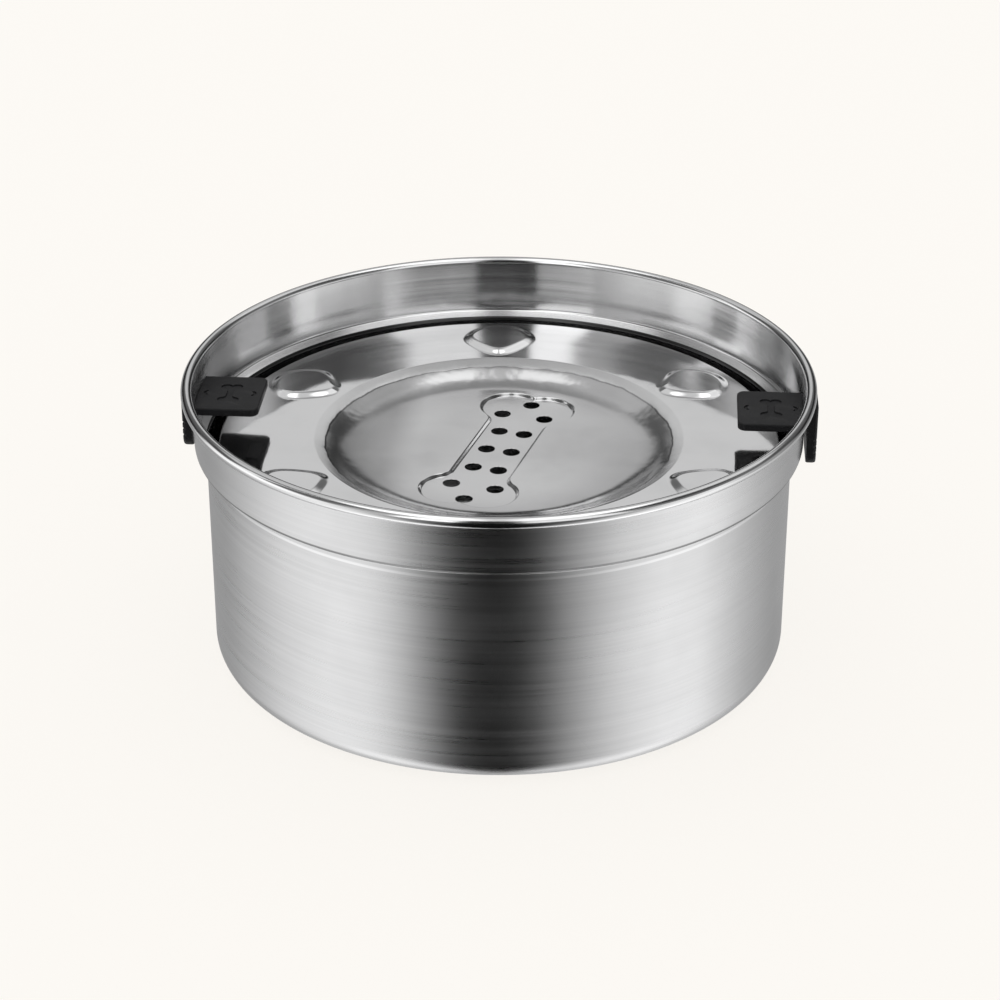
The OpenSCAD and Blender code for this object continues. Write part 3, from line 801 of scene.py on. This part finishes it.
ring = (np.clip((path[:, 0] - RING_FROM) / RING_FADE, 0.0, 1.0)
        * np.clip((RING_TO - path[:, 0]) / RING_FADE, 0.0, 1.0))
lean = np.hypot(normals[..., 0], normals[..., 1])
held = 1 - ring[:, None] * (1 - np.minimum(1.0, RING_LEAN / np.maximum(lean, RING_LEAN)))
normals[..., :2] *= held[..., None]
normals /= np.linalg.norm(normals, axis=-1, keepdims=True)
plate = Skin()
top, top_n = plate_place(places), plate_place(normals)
under, under_n = top - plate_place(sheet_n) * PLATE_SHEET * MM, -top_n
plate.grid(top, top_n, True)
plate.grid(under, under_n, True)
cut_n = np.zeros((2, COLUMNS, 3))
cut_n[..., :2] = -top[-1:, :, :2] / np.linalg.norm(top[-1:, :, :2], axis=-1, keepdims=True)
plate.grid(np.stack([top[-1], under[-1]]), cut_n, True)
print("flange grid:", top.shape[:2], "tallest boss", round(float(pressed.max()), 2), "mm")

# %% [markdown]
# ### Bone recess and water holes
# The recess is a generic bone outline, two lobes at each end of a waist, drawn from five
# sizes that are shares of its half length. The holes stand in pairs along the waist and
# the lobes, with one more at each end.

# %% Bone recess and water holes
BONE_HALF = DISH_R - DISH_RUN - 9.1
BONE = [BONE_HALF * s for s in (0.773, 0.14, 0.227, 0.217, 0.165)]
HOLE_R = BONE_HALF * 0.132 / 2


def bone_outline(size, grow, steps):
    """A closed bone outline, anticlockwise, in mm."""
    lobe = np.array([size[0], size[1]])
    neck_y, reach = size[3] + size[4], size[2] + size[4]
    neck = np.array([lobe[0] - math.sqrt(reach ** 2 - (neck_y - lobe[1]) ** 2), neck_y])
    lean = math.degrees(math.atan2(lobe[1] - neck[1], lobe[0] - neck[0]))
    tip = -math.degrees(math.asin(lobe[1] / (size[2] + grow)))
    quarter = np.concatenate([arc(neck, size[4] - grow, -90, lean, steps),
                              arc(lobe, size[2] + grow, lean + 180, tip, 3 * steps)[1:]])
    half = np.concatenate([quarter, (quarter * [1, -1])[::-1][1:]])
    whole = np.concatenate([half, -half])
    return whole[::-1]


def bone_place(p):
    return turned(p, math.radians(PLATE_TURN + BONE_TURN))


def circle(centre, r, steps):
    return arc(centre, r, 0, 360, steps)[:-1]


end_x = BONE[0] + math.sqrt(BONE[2] ** 2 - BONE[1] ** 2) - 0.2 - HOLE_R
holes = [(i * 0.338 * BONE_HALF, side * 0.103 * BONE_HALF) for i in (-1, 0, 1) for side in (-1, 1)]
holes += [(end * 0.656 * BONE_HALF, side * 0.177 * BONE_HALF) for end in (-1, 1) for side in (-1, 1)]
holes += [(end * end_x, 0.0) for end in (-1, 1)]
print("water holes:", len(holes), "of", round(2 * HOLE_R, 2), "mm")

# %% [markdown]
# ### Pressing and piercing
# The wall of the recess is an even S curve, soft at the top and at the foot, as thin
# sheet bends over a punch. The water holes are punched from above, so each has a small
# rounded rim. The dish's floor joins the recess to the sheet that was turned above.

# %% Recess mesh
SOFT = 1.5
wall_share = np.linspace(0, 1, 13)
wall_grow = SOFT * (1 - wall_share)
wall_drop = -BONE_DEPTH * wall_share ** 2 * (3 - 2 * wall_share)
wall_angle = np.arctan(6 * wall_share * (1 - wall_share) * BONE_DEPTH / SOFT)
wall_out, wall_up = -np.sin(wall_angle), np.cos(wall_angle)
bone_loops = [bone_outline(BONE, g, 10) for g in wall_grow]
contour_band(plate, bone_loops, [DISH_Z + drop for drop in wall_drop], wall_out, wall_up, bone_place)
contour_band(plate, [bone_outline(BONE, g + 0.5, 10) for g in wall_grow],
             [DISH_Z - PLATE_SHEET + drop for drop in wall_drop],
             [-o for o in wall_out], [-u for u in wall_up], bone_place)
floor_ring = turned(circle((0, 0), FLOOR_R, COLUMNS), -math.radians(BONE_TURN))
flat(plate, floor_ring, [bone_loops[0]], DISH_Z, 1.0, bone_place)
flat(plate, floor_ring, [bone_outline(BONE, wall_grow[0] + 0.5, 10)], DISH_Z - PLATE_SHEET, -1.0,
     bone_place)

rim_steps = np.radians(np.linspace(0, 90, 5))
rim_r = 0.15
rim_loops = [[circle(h, HOLE_R + rim_r * (1 - math.sin(a)), 40) for a in rim_steps] for h in holes]
bone_floor = DISH_Z - BONE_DEPTH
for loops, h in zip(rim_loops, holes):
    drops = [bone_floor - rim_r * (1 - math.cos(a)) for a in rim_steps]
    contour_band(plate, loops, drops, [-math.sin(a) for a in rim_steps],
                 [math.cos(a) for a in rim_steps], bone_place)
    wall_loops = [loops[-1], loops[-1]]
    contour_band(plate, wall_loops, [drops[-1], bone_floor - PLATE_SHEET], [-1, -1], [0, 0], bone_place)
flat(plate, bone_loops[-1], [loops[0] for loops in rim_loops], bone_floor, 1.0, bone_place)
flat(plate, bone_outline(BONE, wall_grow[-1] + 0.5, 10), [loops[-1] for loops in rim_loops],
     bone_floor - PLATE_SHEET, -1.0, bone_place)
plate_shell = plate.build("plate_shell", [steel_plate])
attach(plate_shell, "float")
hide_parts("disc_plate")
print("plate faces:", len(plate_shell.data.polygons), "holes:", len(holes))

# %% [markdown]
# ## Clips
# One moulding each: a flat tongue that reaches in over the plate, and a finger plate
# outside, with three grip grooves. The tongue's edges are rounded all round, and its
# top carries a small engraved bone with a curved stroke on each side, as depth only.
# A stop under the tongue keeps the clip from leaving its slot.

# %% Clip outlines
TONGUE = dict(x0=90.4, x1=115.5, half=15.0, low=98.0, high=101.0, corner=3.0)
FINGER = dict(x0=116.6, x1=120.39, half=10.0, low=81.5, high=107.0)
EDGE = 0.6


def rounded_loop(x0, x1, half, radii, steps=10):
    """A rounded rectangle, anticlockwise from its lower left corner."""
    r = radii
    return np.concatenate([arc((x0 + r[0], -half + r[0]), r[0], 180, 270, steps),
                           arc((x1 - r[1], -half + r[1]), r[1], 270, 360, steps),
                           arc((x1 - r[2], half - r[2]), r[2], 0, 90, steps),
                           arc((x0 + r[3], half - r[3]), r[3], 90, 180, steps)])


def tongue_loop(inset):
    c = TONGUE["corner"] - inset * 0.9
    return rounded_loop(TONGUE["x0"] + inset, TONGUE["x1"] - inset, TONGUE["half"] - inset,
                        [c, 0.7, 0.7, c])


def stroke_loop(side, grow):
    """A curved stroke with rounded ends beside the small bone."""
    r, half_w, half_a = 2.1, 0.45 + grow, 50.0
    middle = 0.0 if side > 0 else 180.0
    ends = [np.array([math.cos(math.radians(middle + s * half_a)),
                      math.sin(math.radians(middle + s * half_a))]) * r for s in (1, -1)]
    outer = arc((0, 0), r + half_w, middle - half_a, middle + half_a, 10)
    cap_a = arc(ends[0], half_w, middle + half_a, middle + half_a + 180, 6)[1:-1]
    inner = arc((0, 0), r - half_w, middle + half_a, middle - half_a, 10)
    cap_b = arc(ends[1], half_w, middle - half_a + 180, middle - half_a + 360, 6)[1:-1]
    return np.concatenate([outer, cap_a, inner, cap_b]) + [side * 7.5, 0.0]


print("tongue outline:", len(tongue_loop(0.0)), "points")

# %% [markdown]
# ### Tongue
# The same outline, drawn a little smaller at each step, rounds both edges of the tongue.
# The marks are cut with a soft upper edge and a steep wall, as a mould leaves them.

# %% Tongue and marks
MARK_AT = np.array([103.05, 0.0])
MARK_BONE = [5.7, 1.95, 2.1, 1.2, 1.5]
MARK_WALL = ((0.22, 0.0, 0), (0.16, -0.03, 25), (0.08, -0.12, 55), (0.02, -0.3, 80), (0.0, -0.5, 85))


def add_tongue(body, place):
    """The tongue with its rounded edges and the engraved marks."""
    steps = np.radians(np.linspace(0, 90, 6))
    edge_loops = [tongue_loop(EDGE * (1 - math.sin(a))) for a in steps]
    contour_band(body, edge_loops, [TONGUE["high"] - EDGE * (1 - math.cos(a)) for a in steps],
                 [math.sin(a) for a in steps], [math.cos(a) for a in steps], place)
    contour_band(body, [edge_loops[-1]] * 2, [TONGUE["high"] - EDGE, TONGUE["low"] + EDGE],
                 [1, 1], [0, 0], place)
    contour_band(body, edge_loops, [TONGUE["low"] + EDGE * (1 - math.cos(a)) for a in steps],
                 [math.sin(a) for a in steps], [-math.cos(a) for a in steps], place)
    flat(body, edge_loops[0], [], TONGUE["low"], -1.0, place)
    marks = [lambda g: bone_outline(MARK_BONE, g, 6)[:, ::-1][::-1] + MARK_AT]
    marks += [lambda g, s=side: stroke_loop(s, g) + MARK_AT for side in (1, -1)]
    for mark in marks:
        loops = [mark(grow) for grow, _, _ in MARK_WALL]
        contour_band(body, loops, [TONGUE["high"] + drop for _, drop, _ in MARK_WALL],
                     [-math.sin(math.radians(lean)) for _, _, lean in MARK_WALL],
                     [math.cos(math.radians(lean)) for _, _, lean in MARK_WALL], place)
        flat(body, loops[-1], [], TONGUE["high"] + MARK_WALL[-1][1], 1.0, place)
    flat(body, edge_loops[0], [mark(MARK_WALL[0][0]) for mark in marks], TONGUE["high"], 1.0, place)


print("tongue ready")

# %% [markdown]
# ### Link and stop
# A plain neck passes the slot and joins the tongue to the finger plate. The stop is a
# wedge, so that the clip can be pushed in once and not be pulled out again.

# %% Link and stop
def add_link(body, place):
    """The neck through the slot, and the wedge under the tongue that stops the clip."""
    link = rounded_loop(115.2, 118.4, 9.99, [0.3] * 4, 4)
    low, high = TONGUE["low"] + 0.01, TONGUE["high"] - 0.01
    contour_band(body, [link, link], [low, high], [1, 1], [0, 0], place)
    flat(body, link, [], high, 1.0, place)
    flat(body, link, [], low, -1.0, place)
    stop = np.array([[92.1, 98.0], [97.1, 97.1], [97.1, 98.3], [92.1, 98.3]])
    for a, b in zip(stop, np.roll(stop, -1, 0)):
        out = unit(np.array([b[1] - a[1], -(b[0] - a[0])]))
        quad = np.array([[[a[0], -7.0, a[1]], [b[0], -7.0, b[1]], [b[0], 7.0, b[1]], [a[0], 7.0, a[1]]]])
        look = np.tile([out[0], 0.0, out[1]], (1, 4, 1))
        body.faces(place(quad) * MM, place(look))
    for side in (-1.0, 1.0):
        quad = np.array([[[p[0], side * 7.0, p[1]] for p in stop]])
        body.faces(place(quad) * MM, place(np.tile([0.0, side, 0.0], (1, 4, 1))))


print("link and stop ready")

# %% [markdown]
# ### Finger plate
# It is built from level rings, so its rounded ends and its three grooves come from one
# formula. The rings stand close together at both ends and where the grooves are.

# %% Finger plate
END_R = 1.27
GROOVES, GROOVE_HALF, GROOVE_DEPTH = (87.15, 89.75, 92.35), 0.56, 0.5
LOW_CORNER, HIGH_CORNER = 5.0, 1.4


def add_finger(body, place):
    """The plate outside the collar, drawn as a stack of rounded rings."""
    f = FINGER
    bend = END_R * (1 - np.cos(np.radians(np.linspace(0, 90, 9))))
    levels = np.unique(np.round(np.concatenate([
        f["low"] + bend,
        np.arange(f["low"] + 1.4, f["high"] - 1.4, 0.25),
        np.arange(86.2, 93.2, 0.08),
        f["high"] - bend]), 4))
    rings = []
    for z in levels:
        near = min(z - f["low"], f["high"] - z)
        pull = END_R - math.sqrt(max(END_R ** 2 - max(END_R - near, 0.0) ** 2, 0.0))
        groove = sum(GROOVE_DEPTH * max(0.0, 1 - abs((z - g) / GROOVE_HALF) ** 3) for g in GROOVES)
        side_r = LOW_CORNER if z < (f["low"] + f["high"]) / 2 else HIGH_CORNER
        narrow = side_r - math.sqrt(max(side_r ** 2 - max(side_r - near, 0.0) ** 2, 0.0))
        half = max(f["half"] - narrow, 0.4)
        x1 = f["x1"] - pull - groove
        x0 = f["x0"] + pull
        corner = min(1.1, half * 0.6, (x1 - x0) * 0.45)
        loop = rounded_loop(x0, x1, half, [corner * 0.6, corner, corner, corner * 0.6], 6)
        rings.append(np.concatenate([loop, np.full((len(loop), 1), z)], 1))
    rings = np.array(rings)
    along = np.gradient(rings, axis=0)
    around = (np.roll(rings, -1, 1) - np.roll(rings, 1, 1))
    look = np.cross(around, along)
    look /= np.linalg.norm(look, axis=-1, keepdims=True) + 1e-12
    body.grid(place(rings) * MM, place(look), closed=True)
    flat(body, rings[0][:, :2], [], levels[0], -1.0, place)
    flat(body, rings[-1][:, :2], [], levels[-1], 1.0, place)


print("finger plate ready")

# %% [markdown]
# ### Both clips
# The left clip is the right one turned half round, as the same mould makes both.

# %% Clips
for name, side in (("right_clip", 1.0), ("left_clip", -1.0)):
    body = Skin()
    place = lambda p, side=side: p * [side, side, 1.0]
    for add_part in (add_tongue, add_link, add_finger):
        add_part(body, place)
    piece = body.build(name + "_moulding", [clip_black])
    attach(piece, name)
    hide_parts(name)
    print(piece.name, "faces:", len(piece.data.polygons))

# %% [markdown]
# ## Float
# Tray and lid of the hollow ring under the plate. They hardly show: past the plate's
# edge, and from below once the plate is lifted out. So the solid model's own shapes stay
# and take the plastic of the float.

# %% Float
for name in ("float_tray", "float_lid"):
    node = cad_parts[name]
    node.data.materials.clear()
    node.data.materials.append(float_black)
print("float nodes finished")

# %% [markdown]
# ## Floor
# A pale floor, seen by the camera at its own colour with the bowl's soft shadow on it.
# Mirror-like steel sees through it to the tent below, as over a glass table, because a
# floor close to the bowl would fill the lower half of every reflection with one tone.

# %% Floor
PALE = (1.0, 0.973, 0.930, 1.0)
FLOOR_GLOW = 0.85
floor_mesh = bpy.data.meshes.new("floor")
floor_mesh.from_pydata([(-8, -8, 0), (8, -8, 0), (8, 8, 0), (-8, 8, 0)], [], [(0, 1, 2, 3)])
floor = bpy.data.objects.new("floor", floor_mesh)
bpy.context.scene.collection.objects.link(floor)
material, tree, shader = new_material("floor_pale")
shader.inputs["Roughness"].default_value = 1.0
shader.inputs["Specular IOR Level"].default_value = 0.0
shader.inputs["Base Color"].default_value = (1.0, 0.975, 0.935, 1.0)
path_node = add(tree, "ShaderNodeLightPath")
glow = add(tree, "ShaderNodeEmission", None, Color=PALE, Strength=1.0)
lit = add(tree, "ShaderNodeMixShader", None,
          s0=math_node(tree, "MULTIPLY", path_node.outputs["Is Camera Ray"], FLOOR_GLOW),
          s1=shader.outputs[0], s2=glow.outputs[0])
clear = tree.nodes.new("ShaderNodeBsdfTransparent")
choose = add(tree, "ShaderNodeMixShader", None, s0=path_node.outputs["Is Glossy Ray"],
             s1=lit.outputs[0], s2=clear.outputs[0])
out = next(n for n in tree.nodes if n.type == "OUTPUT_MATERIAL")
tree.links.new(choose.outputs[0], out.inputs[0])
floor_mesh.materials.append(material)
print("floor ready")

# %% [markdown]
# ## Light tent
# Polished steel shows only what stands round it, so the tent is drawn for reflections as
# brightness against two things: how far round from the camera, and how high. A round
# wall mirrors the tent turned, twice as fast as the wall itself turns. Low down it is
# dark in front and bright on both sides, which draws the upright dark band on the body.
# At eye level it is a softer copy, for the inside of the collar. Higher up
# stand panels with crisp edges, which the flat flange shows by way of the collar, and
# overhead it is bright with a dimmer strip, for the slopes of the dish and the bosses.
# Matt surfaces get a plain white of strength 1 and the camera sees the pale backdrop.
# The stops were set until the steel's light and dark bands, read off along a few
# lines, agreed with the photograph, so they describe one studio and not steel as such.

# %% Light tent
world = bpy.data.worlds.new("tent")
bpy.context.scene.world = world
world.use_nodes = True
tree = world.node_tree
tree.nodes.clear()
direction = add(tree, "ShaderNodeTexCoord").outputs["Generated"]
xyz = add(tree, "ShaderNodeSeparateXYZ", None, Vector=direction).outputs
c, s = math.cos(CAMERA_TURN), math.sin(CAMERA_TURN)
toward = math_node(tree, "SUBTRACT", math_node(tree, "MULTIPLY", xyz[0], s),
                   math_node(tree, "MULTIPLY", xyz[1], c))
right = math_node(tree, "ADD", math_node(tree, "MULTIPLY", xyz[0], c),
                  math_node(tree, "MULTIPLY", xyz[1], s))
angle = math_node(tree, "ARCTAN2", right, toward)
share = math_node(tree, "MULTIPLY_ADD", angle, 1 / (2 * math.pi), 0.5)


def tent_ramp(*stops):
    """Brightness round the tent: stops are (degrees right of the camera, brightness)."""
    node = tree.nodes.new("ShaderNodeValToRGB")
    ramp = node.color_ramp.elements
    while len(ramp) > 1:
        ramp.remove(ramp[-1])
    for i, (degrees, level) in enumerate(stops):
        at = degrees / 360 + 0.5
        element = ramp[0] if i == 0 else ramp.new(at)
        element.position = at
        element.color = (level / 2, level / 2, level / 2, 1.0)
    tree.links.new(share, node.inputs[0])
    return math_node(tree, "MULTIPLY", node.outputs[0], 2.0)


def between(fac, a, b):
    node = add(tree, "ShaderNodeMix", None, s0=fac, s2=a, s3=b)
    return node.outputs[0]


low_tent = tent_ramp((-180, 0.62), (-132, 0.45), (-112, 0.7), (-90, 1.2), (-66, 1.45), (-52, 1.33),
                     (-42, 0.98), (-31, 0.4), (-21, 0.06), (-14, 0.004), (11, 0.004), (15, 0.02),
                     (20, 0.13), (30, 0.48), (48, 1.12), (68, 1.52), (86, 1.54), (100, 1.15),
                     (116, 0.8), (136, 0.56), (180, 0.62))
panels = tent_ramp((-180, 0.85), (-169, 0.8), (-163, 0.2), (-125, 0.1), (-107, 0.2), (-105, 1.3),
                   (-93, 1.3), (-91, 0.2), (-66, 0.22), (-59, 0.33), (-57, 0.65), (-38, 0.68),
                   (-36, 2.1), (-16, 2.0), (-14, 0.03), (8, 0.03), (10, 1.4), (44, 1.5), (47, 0.42),
                   (60, 0.3), (66, 0.24), (105, 0.22), (125, 0.1), (163, 0.2), (169, 0.8), (180, 0.85))
upper_tent = tent_ramp((-180, 0.4), (-168, 0.65), (-158, 0.9), (-122, 0.8), (-110, 0.1), (-101, 0.12),
                       (-99, 1.4), (-95, 1.4), (-93, 0.12), (-59, 0.2), (-57, 0.45), (-38, 0.55),
                       (-35, 1.7), (-16, 1.6), (-14, 0.03), (8, 0.03), (10, 1.2), (44, 1.2), (47, 0.3),
                       (66, 0.06), (110, 0.1), (122, 0.9), (158, 1.2), (168, 0.65), (180, 0.4))
wall_tent = tent_ramp((-180, 0.5), (-135, 0.38), (-112, 1.5), (-92, 1.7), (-79, 1.7), (-62, 1.4),
                      (-49, 1.05), (-40, 0.7), (-31, 0.4), (-22, 0.22), (-15.5, 0.14), (-14.5, 0.004),
                      (7.5, 0.004), (8.5, 0.05), (22, 0.13), (31, 0.22), (38, 0.5), (49, 0.75),
                      (58, 1.15), (80, 1.35), (94, 0.7), (105, 0.5), (130, 0.27), (180, 0.5))
height = xyz[2]
behind = remap(tree, math_node(tree, "ABSOLUTE", angle), 2.05, 2.20, 0.0, 1.0)
band = math_node(tree, "MULTIPLY", remap(tree, height, -0.02, 0.02, 0.0, 1.0),
                 remap(tree, height, 0.26, 0.36, 1.0, 0.0))
dark_band = math_node(tree, "MULTIPLY", behind, band)
lifted = remap(tree, height, 0.18, 0.34, 0.0, 1.0, True)
raised = remap(tree, height, 0.56, 0.64, 0.0, 1.0, True)
overhead = remap(tree, height, 0.86, 0.90, 0.0, 1.0, True)
beam = remap(tree, math_node(tree, "ABSOLUTE", right), 0.03, 0.07, 0.8, 1.9)
fuller = remap(tree, height, -0.85, -0.60, 1.3, 1.0, True)  # for the bend at the foot
level_view = remap(tree, height, -0.32, -0.20, 0.0, 1.0, True)
low = between(level_view, math_node(tree, "MULTIPLY", low_tent, fuller), wall_tent)
sides = between(lifted, low, panels)
sides = between(dark_band, sides, 0.03)
level = between(overhead, between(raised, sides, upper_tent), beam)
light = add(tree, "ShaderNodeBackground", None, Strength=level)
seen = add(tree, "ShaderNodeBackground", None, Color=PALE, Strength=1.0)
plain = add(tree, "ShaderNodeBackground", None, Strength=1.0)
rays = add(tree, "ShaderNodeLightPath").outputs
evened = add(tree, "ShaderNodeMixShader", None, s0=rays["Is Diffuse Ray"], s1=light.outputs[0],
             s2=plain.outputs[0])
mixed = add(tree, "ShaderNodeMixShader", None, s0=rays["Is Camera Ray"], s1=evened.outputs[0],
            s2=seen.outputs[0])
out = tree.nodes.new("ShaderNodeOutputWorld")
tree.links.new(mixed.outputs[0], out.inputs[0])
bpy.context.scene.view_settings.view_transform = "Standard"
print("tent ready")
